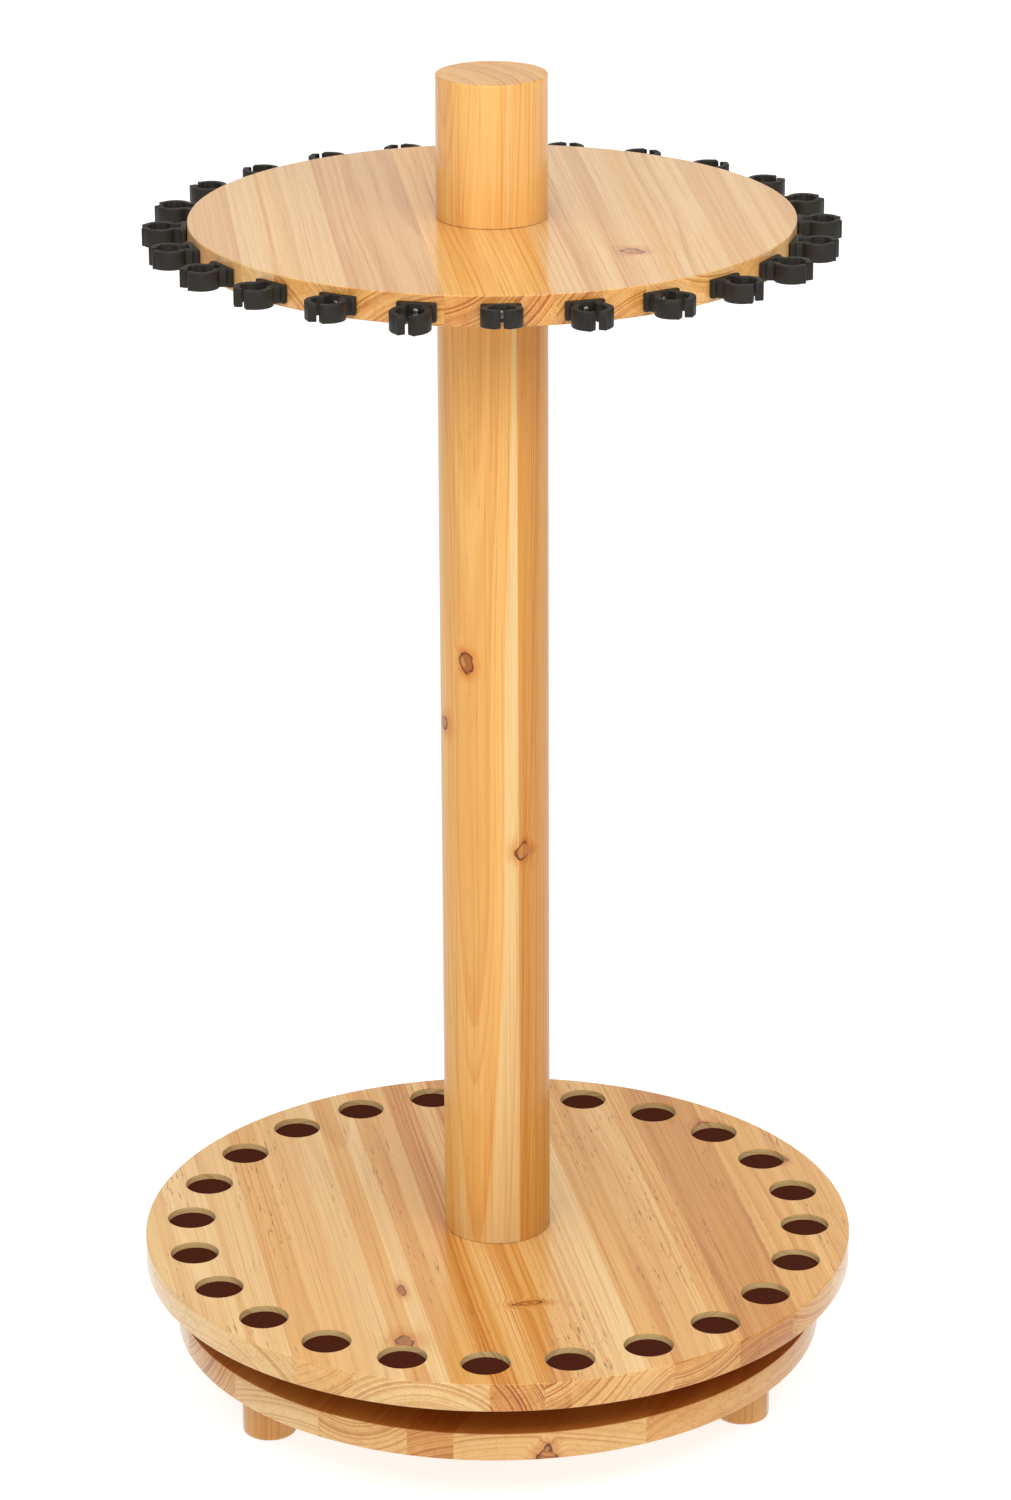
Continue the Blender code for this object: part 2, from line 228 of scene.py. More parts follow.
def pine(
    name, centre, along, across, boards, half_width, stripes=(), knots=(),
    flecks=0.6, gloss=1.0, lean=0.0, sapwood=None, bare=None, painted_shade_on_top=False
):
    """Varnished pine, glued up from boards and cut through as solid wood.

    along is the grain's direction, and across the one that the boards lie side by side in. A board is
    (where it starts across, tone, where its heart lies across, how deep that is, width of a year's
    growth, strength of figure), in millimetres from the centre. Stripes are (start, tone) and show on
    the face grain alone. A knot is (place, half its width, half its length), and its branch tapers to
    nothing at the centre's depth. Hearts lean away by lean per millimetre of length. Past the sapwood
    radius the wood is pale on its far side. Upright walls nearer than bare to the Z axis are raw. The
    last flag darkens the faces that look up with painted shade, for the shade in the gap under the disc
    above; it is not an oil finish.
    """
    material, wire, shader = fresh_material(name)
    deep = Vector(along).cross(Vector(across))
    centre = Vector(centre)
    place = wire.node("TexCoord", output=3)
    facing = wire.node("TexCoord", output=1)
    here = wire.node("VectorMath", {"operation": "SUBTRACT"}, {0: place, 1: centre})
    grain = here.along(along) * 1000
    side = here.along(across) * 1000
    depth = here.along(deep) * 1000

    def by_board(values, position):
        stops = [(max(0.0, start / half_width / 2 + 0.5), value) for start, value in values]
        settings = {"interpolation": "CONSTANT", "stops": stops}
        return wire.node("ValToRGB", settings, {"Fac": position / (2 * half_width) + 0.5})

    tone = by_board([(board[0], (*board[1], 1.0)) for board in boards], side)
    hearts = []
    for start, _, heart_x, heart_y, growth_width, strength_of_figure in boards:
        packed = (heart_x / 1000 + 0.5, heart_y / 1000 + 0.5, growth_width / 10, strength_of_figure)
        hearts.append((start, packed))
    heart = by_board(hearts, side)
    split = wire.node("SeparateColor", {}, {"Color": heart})
    heart_side, heart_deep = (split - 0.5) * 1000, (split.other(1) - 0.5) * 1000
    year, figure = split.other(2) * 10, heart.other(1)
    seed = heart_side * 0.13 + heart_deep * 0.29
    end = wire.maths("ABSOLUTE", facing.along(along)).rise(0.45, 0.85)

    bend = wire.place(side * 0.004 + seed, grain * 0.0026, depth * 0.008).noise(1.0, detail=1.0)
    bends = wire.node("SeparateColor", {}, {"Color": bend.other(1)})
    off_side = side - heart_side + (bends - 0.5) * 8
    off_deep = depth - heart_deep - grain * lean + (bends.other(1) - 0.5) * 16
    radius = (off_side**2 + off_deep**2) ** 0.5
    if stripes:
        wander = (bends.other(2) - 0.5) * 5
        striped = by_board([(start, (*tint, 1.0)) for start, tint in stripes], side + wander)
        tone = wire.mix(end, striped, tone)

    if sapwood:
        beyond = radius.rise(sapwood - 1.0, sapwood + 1.5) * (side - heart_side).rise(0, 8)
        tone = wire.mix(beyond, tone, (*PALE, 1.0))

    dark, rim, halo = None, None, None
    if knots:
        gnarl = wire.place(side * 0.11, grain * 0.08, depth * 0.11).noise(1.0, detail=2.0)
        gnarls = wire.node("SeparateColor", {}, {"Color": gnarl.other(1)})
    for spot, half_knot, half_length in knots:
        spot = Vector(spot) - centre
        taper = wire.maths("MAXIMUM", depth / (spot.dot(deep) * 1000), 0.02)
        away_side = (side - spot.dot(Vector(across)) * 1000) / half_knot + (gnarls - 0.5) * 1.6
        away_grain = (grain - spot.dot(Vector(along)) * 1000) / half_length
        away_grain = away_grain + (gnarls.other(1) - 0.5) * 1.6
        near = (away_side**2 + away_grain**2) ** 0.5 / taper
        radius = radius + wire.maths("EXPONENT", (near / 2.0) ** 2 * -1) * (half_knot * 0.9)
        inside = 1 - near.rise(0.90, 1.05)
        edge = near.rise(0.62, 0.95) * (1 - near.rise(0.98, 1.12))
        stained = 1 - near.rise(0.9, 3.2)
        dark = inside if dark is None else wire.maths("MAXIMUM", dark, inside)
        rim = edge if rim is None else wire.maths("MAXIMUM", rim, edge)
        halo = stained if halo is None else wire.maths("MAXIMUM", halo, stained)

    growth = radius / year + (radius + seed * 5).noise_line(0.16) * 2.6
    turn = wire.maths("FRACT", growth)
    late = turn.rise(0.25, 0.90) * (1 - turn.rise(0.92, 1.0))
    that_year = (wire.maths("FLOOR", growth) * 7.31 + seed).noise_line(1.0, detail=0.0)
    strength = that_year.rise(0.30, 0.70) * 0.8 + 0.2
    year_ring = late * strength * figure
    band = (radius * 0.045 + seed * 3).noise_line(1.0, detail=2.0).rise(0.42, 0.62) * figure
    streak = wire.place(side * 0.16 + seed, grain * 0.0016, depth * 0.16).noise(1.0, detail=2.0)
    streak = streak.rise(0.46, 0.66)
    line = wire.place(side * 0.85 + seed, grain * 0.0045, depth * 0.85)
    line = line.noise(1.0, detail=3.0, roughness=0.65)
    fibre = wire.place(side * 3.2, grain * 0.060, depth * 3.2).noise(1.0, detail=2.0, roughness=0.7)

    colour = tone.stain(band * 0.45, (0.86, 0.70, 0.48))
    colour = colour.stain(year_ring * 0.55, (0.76, 0.50, 0.27))
    colour = colour.stain(streak * 0.40 * figure, (0.86, 0.70, 0.46))
    colour = colour.stain(line.rise(0.50, 0.68) * 0.70 * figure, (0.74, 0.50, 0.29))
    colour = colour.stain(fibre.rise(0.35, 0.75) * 0.20, (0.76, 0.60, 0.44))
    if flecks:
        fleck = wire.place(side * 0.80 + seed, grain * 0.055, depth * 0.80)
        fleck = fleck.noise(1.0, detail=2.0, roughness=0.6)
        spread = wire.place(side * 0.040 + seed, grain * 0.008, depth * 0.040).noise(1.0, detail=1.0)
        amount = fleck.rise(0.61, 0.69) * spread.rise(0.45, 0.62) * flecks
        colour = wire.mix(amount * (1 - end * 0.7), colour, (0.33, 0.135, 0.036, 1))
    if knots:
        core = wire.mix(turn.rise(0.1, 0.9), (0.52, 0.21, 0.05, 1), (0.32, 0.10, 0.02, 1))
        colour = wire.mix(dark * 0.9, colour.stain(halo**2 * 0.7, (0.80, 0.48, 0.22)), core)
        colour = wire.mix(rim * gnarls.other(2).rise(0.30, 0.55), colour, (0.11, 0.028, 0.006, 1))
    colour = colour.stain(end * 0.8, (0.95, 0.91, 0.85))
    colour = colour.stain(end * year_ring, (0.66, 0.40, 0.20))

    if bare:
        level = wire.node("VectorMath", {"operation": "MULTIPLY"}, {0: place, 1: (1, 1, 0)})
        reach = wire.node("VectorMath", {"operation": "LENGTH"}, {0: level}, output=1)
        walls = 1 - wire.maths("ABSOLUTE", facing.along((0, 0, 1))).rise(0.2, 0.5)
        raw = walls * (1 - reach.rise(bare - 0.5 * MM, bare))
        raw_wood = wire.mix(year_ring, (0.63, 0.44, 0.20, 1), (0.44, 0.27, 0.10, 1))
        colour = wire.mix(raw, colour, raw_wood)
    # Painted shade: faces that look up are darkened, for the shade in the gap under the disc above. This
    # is not an oil stain.
    if painted_shade_on_top:
        up = facing.along((0, 0, 1)).rise(0.4, 0.8)
        colour = colour.stain(up, (0.62, 0.38, 0.20))

    relief = late * strength * 0.5 + fibre * 0.5
    bump = wire.node("Bump", {}, {"Strength": 0.20, "Distance": 0.12 * MM, "Height": relief})
    connect(shader, Base_Color=colour, Roughness=0.30 + fibre * 0.10 + late * 0.04, Normal=bump)
    shader.inputs["Specular IOR Level"].default_value = 0.22 * gloss
    shader.inputs["Coat Weight"].default_value = 0.60 * gloss
    shader.inputs["Coat Roughness"].default_value = 0.09
    shader.inputs["Coat IOR"].default_value = 1.5
    return material


def add_piece(name, bm, material, smooth=32):
    """A finished mesh as an object, facing out, smooth except over edges sharper than an angle."""
    bmesh.ops.recalc_face_normals(bm, faces=bm.faces)
    mesh = bpy.data.meshes.new(name)
    bm.to_mesh(mesh)
    bm.free()
    mesh.shade_smooth()
    mesh.set_sharp_from_angle(angle=math.radians(smooth))
    mesh.materials.append(material)
    piece = bpy.data.objects.new(name, mesh)
    scene.collection.objects.link(piece)
    return piece


def ring(bm, radius, height, count, centre=(0.0, 0.0)):
    """A level circle of points."""
    x, y = centre
    turns = (2 * math.pi * i / count for i in range(count))
    return [bm.verts.new((x + radius * math.cos(a), y + radius * math.sin(a), height)) for a in turns]


def skin(bm, rings):
    """Faces between each ring and the next."""
    for lower, upper in zip(rings, rings[1:]):
        count = len(lower)
        for i in range(count):
            bm.faces.new((lower[i], lower[(i + 1) % count], upper[(i + 1) % count], upper[i]))


support = 0.3 * MM


def eased(radius, edge, height, inward, steps=3):
    """(radius, height) points round an eased edge, led in by a support ring that keeps the flat face flat.
    inward is 1 or -1, the way into the piece."""
    flat = radius - edge
    points = [(flat - support, height)]
    for i in range(steps + 1):
        turn = math.pi / 2 * i / steps
        points.append((flat + edge * math.sin(turn), height + inward * edge * (1 - math.cos(turn))))
    return points


def turned(name, outline, material, count=96, centre=(0.0, 0.0)):
    """A solid turned piece from (radius, height) points, bottom to top, closed by flat ends."""
    bm = bmesh.new()
    rings = [ring(bm, radius, height, count, centre) for radius, height in outline]
    skin(bm, rings)
    bm.faces.new(rings[0])
    bm.faces.new(rings[-1])
    return add_piece(name, bm, material)


def stand_in(piece, body, slot, *nodes):
    """piece rides on a body and is shown in place of CAD nodes. slot is not used."""
    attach(piece, body)
    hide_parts(*nodes)
    return piece


upright = Vector((0, 0, 1))
base_low, base_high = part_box("base_disc")
foot_shoulder = base_low.z - gap
foot_tenon = 9.0 * MM
tenon_bores = []
for foot_name, facet in (("foot_back", 0.3), ("foot_front_left", 1.4), ("foot_front_right", 2.5)):
    foot_low, foot_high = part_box(foot_name)
    middle = (foot_low + foot_high) / 2
    foot_radius = (foot_high.x - foot_low.x) / 2
    across = Vector((math.cos(facet), math.sin(facet), 0))
    lie = middle.dot(across) * 1000
    dowel = [
        (-250, HONEY, lie + 34 * math.cos(facet), 30, 3.4, 0.9),
        (lie + 6, AMBER, lie - 42, 22, 2.8, 0.8),
    ]
    wood = pine(f"{foot_name}_pine", (0, 0, 0), upright, across, dowel, half_width=250)
    outline = eased(foot_radius, 2.5 * MM, 0.0, 1) + [(foot_radius, foot_shoulder)]
    outline += [(foot_tenon, foot_shoulder), (foot_tenon, foot_high.z)]
    foot = turned(f"turned_{foot_name}", outline, wood, centre=(middle.x, middle.y))
    stand_in(foot, "base", "foot_pine", foot_name)
    tenon_bores.append((middle.x, middle.y, foot_tenon + 0.5 * MM, -1, foot_high.z - base_low.z + gap))

# ---- Base disc -------------------------------------------------------------------------------
# The board that stands still: wide pine boards glued edge to edge, cut round and eased at both edges. Its
# top is darkened with painted shade, for the shade in the gap under the disc above, and its boards run at
# another angle than those of the disc above. Three blind bores below take the feet's tenons.


def round_board(name, radius, bottom, top, material, edge=0.7 * MM, pockets=(), count=240):
    """A round board with bores. A pocket is (x, y, radius, side, depth): side 1 is cut from the top, -1
    from below, and 0 goes right through."""
    bm = bmesh.new()
    profile = eased(radius, edge, bottom, 1) + eased(radius, edge, top, -1)[::-1]
    outer = [ring(bm, r, z, count) for r, z in profile]
    skin(bm, outer)
    open_rings = {-1: [outer[0]], 1: [outer[-1]]}
    lip = 0.4 * MM
    for x, y, bore, side, depth in pockets:
        sides = (side,) if side else (1, -1)
        loops = {}
        for face in sides:
            height = top if face == 1 else bottom
            mouth = [(bore + lip + support, height), (bore + lip, height)]
            mouth += [(bore + 0.3 * lip, height - face * 0.3 * lip), (bore, height - face * lip)]
            loops[face] = [ring(bm, r, z, 48, (x, y)) for r, z in mouth]
            skin(bm, loops[face])
            open_rings[face].append(loops[face][0])
        if side:
            end = ring(bm, bore, (top if side == 1 else bottom) - side * depth, 48, (x, y))
            skin(bm, [loops[side][-1], end])
            bm.faces.new(end)
        else:
            skin(bm, [loops[1][-1], loops[-1][-1]])
    for rings in open_rings.values():
        sides = [(a, b) for loop in rings for a, b in zip(loop, loop[1:] + loop[:1])]
        edges = [bm.edges.get(pair) for pair in sides]
        bmesh.ops.triangle_fill(bm, use_beauty=True, use_dissolve=False, edges=edges)
    return add_piece(name, bm, material)


def compass(degrees):
    """The level directions along and across boards whose grain is turned from back towards right."""
    turn = math.radians(degrees)
    return Vector((math.sin(turn), math.cos(turn), 0)), Vector((math.cos(turn), -math.sin(turn), 0))


base_radius = base_high.x
along, across = compass(24)
base_boards = [
    (-205, PALE, -190, 60, 3.4, 0.8),
    (-152, TAN, -190, -40, 3.0, 0.9),
    (-98, PALE, -40, 130, 3.4, 0.6),
    (-30, STRAW, -10, -44, 3.6, 0.9),
    (28, HONEY, 70, 86, 3.0, 0.8),
    (57, STRAW, 92, 128, 3.4, 0.6),
    (155, TAN, 190, 50, 3.0, 0.9),
]
base_top = (0, 0, base_high.z + 1 * MM)
base_knots = [((0.030, -0.197, base_low.z), 7.0, 9.0)]
# The base's top is darkened with painted shade, for the shade in the gap under the rotating disc.
base_wood = pine(
    "base_pine_boards", base_top, along, across, base_boards, half_width=210,
    knots=base_knots, painted_shade_on_top=True
)
base = round_board("base_board", base_radius, base_low.z, base_high.z, base_wood, pockets=tenon_bores)
stand_in(base, "base", "base_pine", "base_disc")

# ---- Turntable bearing -----------------------------------------------------------------------
# Two thin zinc-plated steel rings with a race pressed into each, and a caged ring of balls between them.


def plated_steel(name, dark, light):
    """Steel in a grey between a dark and a light tone, with the faint cloudy grain of its coat."""
    material, wire, shader = fresh_material(name)
    corner = wire.node("TexCoord", output=3)
    cloud = corner.noise(140.0, detail=3.0)
    colour = wire.mix(cloud, (*dark, 1), (*light, 1))
    connect(shader, Base_Color=colour, Roughness=0.24 + cloud * 0.18)
    shader.inputs["Metallic"].default_value = 1.0
    return material


zinc = plated_steel("bright_zinc", (0.42, 0.42, 0.43), (0.60, 0.60, 0.58))
race_circle = 90 * MM
race_half = 2.6 * MM
race_depth = 0.65 * MM


def pressed_ring(name, face, back):
    """A flat ring of sheet whose ball race is pressed towards its back."""
    into = 1 if back > face else -1
    inner, outer = 70 * MM, 110 * MM
    ease = 0.35 * MM
    outline = [(inner, back), (inner, face + into * ease), (inner + ease, face)]
    for i in range(9):
        turn = math.pi * i / 8
        across_race = race_circle - race_half * math.cos(turn)
        outline.append((across_race, face + into * race_depth * math.sin(turn)))
    outline += [(outer - ease, face), (outer, face + into * ease), (outer, back)]
    bm = bmesh.new()
    rings = [ring(bm, r, z, 144) for r, z in outline]
    skin(bm, rings + rings[:1])
    return add_piece(name, bm, zinc)


for node, body in (("bearing_lower_plate", "base"), ("bearing_upper_plate", "turntable")):
    plate_low, plate_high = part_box(node)
    face, back = (plate_high.z, plate_low.z) if body == "base" else (plate_low.z, plate_high.z)
    plate = pressed_ring(f"pressed_{node}", face, back)
    stand_in(plate, body, "zinc_steel", node)

ring_low, ring_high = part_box("bearing_ball_ring")
ball_height = (ring_low.z + ring_high.z) / 2
ball_radius = 2.0 * MM
bm = bmesh.new()
cage = [(-4.8, -0.6), (4.8, -0.6), (5.0, -0.3), (5.0, 0.3), (4.8, 0.6), (-4.8, 0.6)]
cage += [(-5.0, 0.3), (-5.0, -0.3)]
rings = [ring(bm, race_circle + r * MM, ball_height + z * MM, 144) for r, z in cage]
skin(bm, rings + rings[:1])
ball_count = 36
for i in range(ball_count):
    turn = 2 * math.pi * i / ball_count
    place = Matrix.Translation((race_circle * math.cos(turn), race_circle * math.sin(turn), ball_height))
    bmesh.ops.create_uvsphere(bm, u_segments=14, v_segments=9, radius=ball_radius, matrix=place)
balls = add_piece("caged_balls", bm, zinc)
stand_in(balls, "ball_ring", "zinc_steel", "bearing_ball_ring")

# ---- Ring screws -----------------------------------------------------------------------------
# Zinc-plated screws with low heads. Four hold the bearing's lower ring down on the base, and four hold
# its upper ring up against the spacer.


def screw_mesh(bm, seat, out, side, radius=2.6 * MM, head=1.6 * MM):
    """A pan head with a cross recess, standing out from its seat."""
    up = out.cross(side)
    dome = [(1.0, 0.0), (1.0, 0.30), (0.96, 0.48), (0.88, 0.66), (0.76, 0.80), (0.60, 0.90), (0.42, 0.96)]

    def around(share, height, count=24):
        turns = [2 * math.pi * i / count for i in range(count)]
        spot = seat + out * (height * head)
        reach = share * radius
        return [bm.verts.new(spot + (side * math.cos(a) + up * math.sin(a)) * reach) for a in turns]

    rings = [around(share, height) for share, height in dome]
    skin(bm, rings)
    bm.faces.new(rings[0])
    arm, web = 0.30, 0.085
    cross = []
    for i in range(4):
        turn = math.pi / 2 * i
        cos, sin = math.cos(turn), math.sin(turn)
        for x, y in ((arm, -web), (arm, web), (web, web)):
            cross.append((x * cos - y * sin, x * sin + y * cos))
    brim, pit = seat + out * (0.96 * head), seat + out * (0.42 * head)
    lip = [bm.verts.new(brim + (side * x + up * y) * radius) for x, y in cross]
    deep = [bm.verts.new(pit + (side * x + up * y) * (radius * 0.7)) for x, y in cross]
    skin(bm, [lip, deep])
    bm.faces.new(deep)
    sides = [(a, b) for loop in (rings[-1], lip) for a, b in zip(loop, loop[1:] + loop[:1])]
    edges = [bm.edges.get(pair) for pair in sides]
    bmesh.ops.triangle_fill(bm, use_beauty=True, edges=edges)


lower_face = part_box("bearing_lower_plate")[1].z
upper_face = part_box("bearing_upper_plate")[0].z
screw_circle = race_circle + 12 * MM
ring_ends = (("lower", "base", lower_face, 1), ("upper", "turntable", upper_face, -1))
for which, body, height, way in ring_ends:
    for i in range(4):
        turn = math.radians(45 + 90 * i)
        outward = Vector((math.cos(turn), math.sin(turn), 0))
        seat = outward * screw_circle + upright * height
        bm = bmesh.new()
        screw_mesh(bm, seat, upright * way, outward, radius=3.2 * MM, head=0.5 * MM)
        screw = add_piece(f"{which}_ring_screw_{i + 1}", bm, zinc)
        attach(screw, body)

# ---- Spacer ----------------------------------------------------------------------------------
# A plain round of the same board, left bare, that lifts the big disc clear of the base. The post's lower
# tenon is glued into a blind bore in its middle.
spacer_low, spacer_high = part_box("bearing_spacer")
along, across = compass(62)
spacer_boards = [
    (-130, STRAW, -60, 70, 3.6, 0.9),
    (-40, HONEY, 20, -60, 3.2, 1.0),
    (38, STRAW, 90, 54, 4.0, 0.9),
]
spacer_middle = (0, 0, (spacer_low.z + spacer_high.z) / 2)
spacer_wood = pine(
    "spacer_pine_boards", spacer_middle, along, across, spacer_boards, half_width=130, gloss=0.2
)
bore = 16.6 * MM
post_tenon_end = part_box("lower_post")[0].z
pocket = [(0.0, 0.0, bore, 1, spacer_high.z - post_tenon_end + gap)]
spacer = round_board(
    "spacer_board", spacer_high.x, spacer_low.z, spacer_high.z, spacer_wood, pockets=pocket
)
stand_in(spacer, "turntable", "spacer_pine", "bearing_spacer")

# ---- Rotating disc ---------------------------------------------------------------------------
# The large disc that the rods stand on, of narrower boards in mixed tones, glued up and varnished. Near
# its rim 24 flat-bottomed sockets are bored, and the post's tenon passes through its middle.
disc_low, disc_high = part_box("rotating_disc")
disc_radius = disc_high.x
along, across = compass(-10)
disc_boards = [
    (-225, PALE, -190, -10, 3.2, 0.7),
    (-187, PALE, -215, -5, 3.4, 0.7),
    (-151, STRAW, -180, -112, 3.2, 0.8),
    (-122, PALE, -80, -12, 3.6, 0.8),
    (-44, HONEY, -90, -20, 2.6, 1.3),
    (-12, STRAW, -30, -115, 3.0, 1.2),
    (4, STRAW, -30, -115, 3.0, 0.8),
    (42, STRAW, 100, -10, 3.0, 0.8),
    (69, TAN, 75, -118, 2.8, 0.9),
    (114, ROSE, 142, -5, 4.6, 1.0),
    (154, TAN, 190, -110, 3.0, 0.8),
    (192, STRAW, 150, -10, 3.0, 0.8),
]
disc_stripes = [
    (-225, PALE),
    (-153, TAN),
    (-133, STRAW),
    (-112, PALE),
    (-92, TAN),
    (-79, PALE),
    (-67, TAN),
    (-54, STRAW),
    (-43, HONEY),
    (-26, STRAW),
    (-12, HONEY),
    (4, STRAW),
    (18, PALE),
    (53, TAN),
    (75, STRAW),
    (103, TAN),
    (116, ROSE),
    (158, TAN),
    (188, STRAW),
]
disc_middle = (0, 0, disc_low.z - 50 * MM)
disc_knots = [
    ((0.019, -0.1156, disc_high.z), 8.5, 2.4),
    ((-0.057, -0.166, disc_high.z), 7.0, 7.5),
    ((-0.059, -0.097, disc_high.z), 2.2, 7.0),
    ((0.138, 0.140, disc_high.z), 6.0, 7.0),
    ((0.185, 0.089, disc_high.z), 3.0, 5.0),
]
disc_wood = pine(
    "disc_pine", disc_middle, along, across, disc_boards, half_width=230,
    stripes=disc_stripes, knots=disc_knots, flecks=1.0, bare=disc_radius - 8 * MM
)
stations = 24
socket_radius = 15 * MM
sockets = [(0.0, 0.0, bore, 0, 0)]
for i in range(stations):
    pad_low, pad_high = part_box(f"socket_pad_{i + 1:02d}")
    middle = (pad_low + pad_high) / 2
    sockets.append((middle.x, middle.y, socket_radius, 1, disc_high.z - pad_low.z + gap))
disc = round_board(
    "turntable_board", disc_radius, disc_low.z, disc_high.z, disc_wood, pockets=sockets, count=288
)
stand_in(disc, "turntable", "turntable_pine", "rotating_disc")

# ---- Socket pads -----------------------------------------------------------------------------
# A thick round of dense red-brown felt lies in the bottom of every socket, so that a rod's butt doesn't
# knock on the wood. Each is punched from a sheet and pressed in.


def felt(name):
    """Dense wool felt: matted fibres, a little lighter where they stand up."""
    material, wire, shader = fresh_material(name)
    corner = wire.node("TexCoord", output=3)
    fuzz = corner.noise(1500.0, detail=4.0, roughness=0.7)
    patch = corner.noise(160.0, detail=2.0)
    colour = wire.mix(fuzz.rise(0.3, 0.75), (0.040, 0.0065, 0.002, 1), (0.085, 0.016, 0.005, 1))
    colour = wire.mix(patch * 0.35, colour, (0.045, 0.010, 0.004, 1))
    bump = wire.node("Bump", {}, {"Strength": 0.7, "Distance": 0.5 * MM, "Height": fuzz})
    connect(shader, Base_Color=colour, Normal=bump)
    shader.inputs["Roughness"].default_value = 1.0
    shader.inputs["Specular IOR Level"].default_value = 0.10
    return material


brown_felt = felt("brown_felt")
pad_dip = 0.25 * MM
for i in range(stations):
    node = f"socket_pad_{i + 1:02d}"
    pad_low, pad_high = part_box(node)
    middle = (pad_low + pad_high) / 2
    pad_radius = (pad_high.x - pad_low.x) / 2
    outline = eased(pad_radius, 0.6 * MM, pad_low.z, 1)
    outline += eased(pad_radius, 1.0 * MM, pad_high.z, -1)[::-1]
    outline += [(pad_radius * share, pad_high.z - pad_dip * (1 - share)) for share in (0.75, 0.5, 0.25)]
    pad = turned(f"felt_pad_{i + 1:02d}", outline, brown_felt, count=40, centre=(middle.x, middle.y))
    stand_in(pad, "turntable", "brown_felt", node)

# ---- Lower post ------------------------------------------------------------------------------
# A stout round post, turned from two thicknesses of pine glued face to face, so that a straight joint
# runs down its front. A tenon at each end goes through the disc there.
post_low, post_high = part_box("lower_post")
top_low, top_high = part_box("top_disc")
post_radius = post_high.x
post_tenon = 16 * MM
post_turn = math.radians(-8)
post_across = Vector((math.cos(post_turn), math.sin(post_turn), 0))
RUSSET = (0.66, 0.33, 0.078)
post_boards = [(-40, AMBER, -24, -90, 4.5, 0.65), (18, RUSSET, 42, 10, 2.6, 0.8)]
post_knots = [
    ((-0.0167, -0.0285, 0.481), 4.0, 6.0),
    ((0.0176, -0.0279, 0.360), 4.2, 5.0),
    ((-0.031, -0.011, 0.437), 2.4, 4.0),
]
post_wood = pine(
    "post_pine", (0, 0, 0), upright, post_across, post_boards, half_width=45,
    knots=post_knots, flecks=0.3, gloss=0.45, lean=0.0286, sapwood=57.0
)
outline = [(post_tenon, post_low.z), (post_tenon, disc_high.z + gap), (post_radius, disc_high.z + gap)]
outline += [(post_radius, top_low.z - gap), (post_tenon, top_low.z - gap), (post_tenon, post_high.z)]
post = turned("long_post", outline, post_wood, count=160)
stand_in(post, "turntable", "post_pine", "lower_post")

# ---- Upper disc ------------------------------------------------------------------------------
# The smaller disc at the height of the rods' blanks, glued up and varnished as the lower one, with the
# post's upper tenon through its middle.
top_radius = top_high.x
along, across = compass(-6)
CREAM = (0.76, 0.495, 0.225)
BLUSH = (0.69, 0.395, 0.155)
top_boards = [
    (-182, PALE, -230, -10, 3.4, 0.5),
    (-137, TAN, -190, -5, 3.2, 0.8),
    (-98, TAN, -40, -8, 4.0, 0.9),
    (-45, HONEY, -60, -118, 3.6, 1.1),
    (17, TAN, 80, -10, 3.2, 0.9),
    (68, STRAW, 120, -115, 3.0, 0.8),
    (123, TAN, 190, -5, 3.4, 0.6),
]
top_stripes = [
    (-182, BLUSH),
    (-153, CREAM),
    (-137, STRAW),
    (-122, CREAM),
    (-98, BLUSH),
    (-45, AMBER),
    (17, CREAM),
    (57, BLUSH),
    (68, CREAM),
    (83, STRAW),
    (93, CREAM),
    (123, BLUSH),
    (148, CREAM),
    (168, BLUSH),
]
top_knots = [((0.080, -0.083, top_high.z), 7.0, 6.0)]
top_middle = (0, 0, top_low.z - 50 * MM)
top_wood = pine(
    "top_pine", top_middle, along, across, top_boards, half_width=185,
    stripes=top_stripes, knots=top_knots, flecks=0.2
)
pocket = [(0.0, 0.0, bore, 0, 0)]
top = round_board("upper_board", top_radius, top_low.z, top_high.z, top_wood, pockets=pocket, count=240)
stand_in(top, "turntable", "top_pine", "top_disc")

# ---- Upper post ------------------------------------------------------------------------------
# A short length of the same turned post, standing on the upper disc and glued over the tenon's end. Its
# top is cut square and varnished over the end grain.
stub_low, stub_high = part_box("upper_post")
stub_turn = math.radians(-44)
stub_across = Vector((math.cos(stub_turn), math.sin(stub_turn), 0))
stub_boards = [(-40, AMBER, -20, -75, 3.4, 0.7)]
stub_stripes = [(-40, AMBER), (-7.0, HONEY), (-6.4, AMBER), (28.5, PALE), (29.4, AMBER)]
stub_wood = pine(
    "stub_pine", (0, 0, stub_high.z), upright, stub_across, stub_boards, half_width=45,
    stripes=stub_stripes, flecks=0.15, gloss=0.7, lean=0.05
)
outline = [(bore, stub_low.z), (post_radius, stub_low.z)]
outline += eased(stub_high.x, 0.8 * MM, stub_high.z, -1)[::-1]
bm = bmesh.new()
rings = [ring(bm, radius, height, 160) for radius, height in outline]
tenon_top = ring(bm, bore, post_high.z + gap, 160)
skin(bm, [tenon_top] + rings)
bm.faces.new(tenon_top)
bm.faces.new(rings[-1])
stub = add_piece("short_post", bm, stub_wood)
stand_in(stub, "turntable", "upper_post_pine", "upper_post")

# ---- Rod clips -------------------------------------------------------------------------------
# Twenty-four moulded clips of soft black plastic stand out from the upper disc's edge. Each has a flat
# flange against the edge, a neck, and two springy jaws with small ribs inside that close round a rod.


